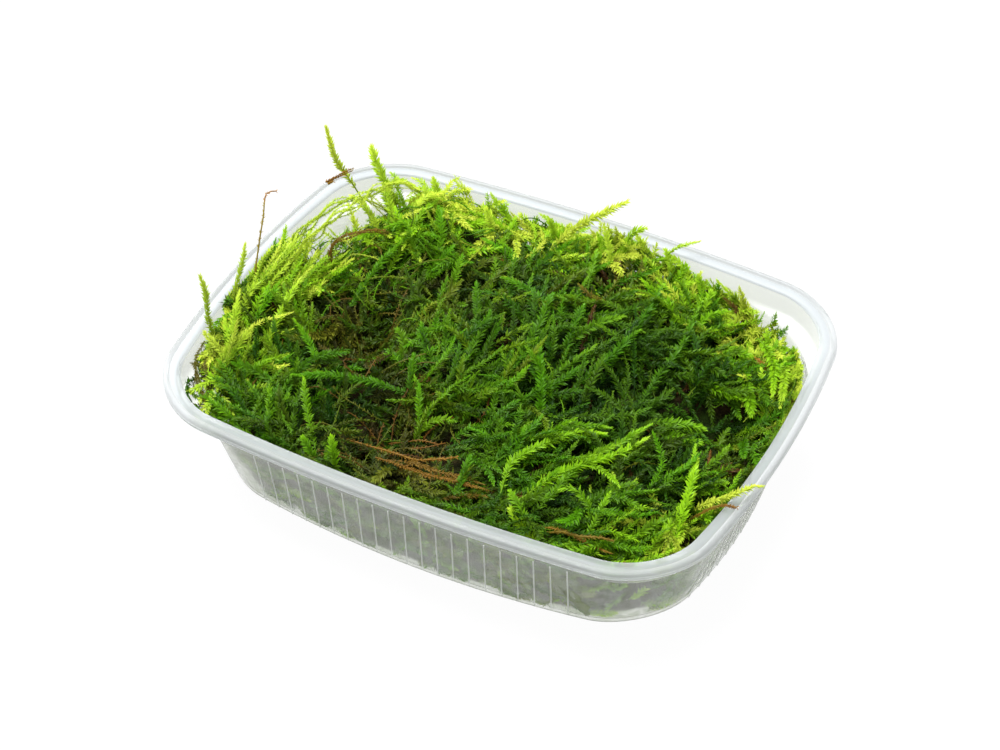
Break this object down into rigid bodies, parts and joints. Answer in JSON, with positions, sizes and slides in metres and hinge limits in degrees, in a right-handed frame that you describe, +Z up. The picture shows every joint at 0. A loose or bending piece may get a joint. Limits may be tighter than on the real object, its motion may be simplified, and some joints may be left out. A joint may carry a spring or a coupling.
{
  "type": "moss clump in a tray",
  "caption": "Clump of stream moss heaped in a rounded rectangular tray of translucent plastic with a flanged rim and ribbed walls, with long shoots standing past the rim.",
  "frame": {"origin": "middle of the tray on its flat underside", "axes": "+X along the tray's length, +Y across it towards its far long side, +Z up out of the tray"},
  "size_m": [0.1434, 0.1098, 0.0522],
  "materials": {
    "frosted_plastic": "translucent, faintly frosted, glossy on the rim",
    "moss_green": "wet leafy moss, deep green with brown patches",
    "moss_tip_green": "wet leafy moss, bright yellow-green",
    "stem_brown": "thin wet plant stem, brown to yellow-brown"
  },
  "bodies": {
    "root": {"tray": "frosted_plastic", "moss_mass": "moss_green", "shoot_left_rim": "moss_tip_green", "shoot_left_tall": "moss_tip_green", "shoot_far_tall": "moss_tip_green", "shoot_far_upright": "moss_tip_green", "shoot_back_feather": "moss_tip_green", "shoot_back_hook": "moss_tip_green", "shoot_back_arch": "moss_tip_green", "shoot_over_rim": "moss_tip_green", "stem_arch_outer": "stem_brown", "stem_arch_inner": "stem_brown", "stem_brown": "stem_brown", "twig_pale": "stem_brown", "twig_crossed": "stem_brown"}
  },
  "joints": []
}
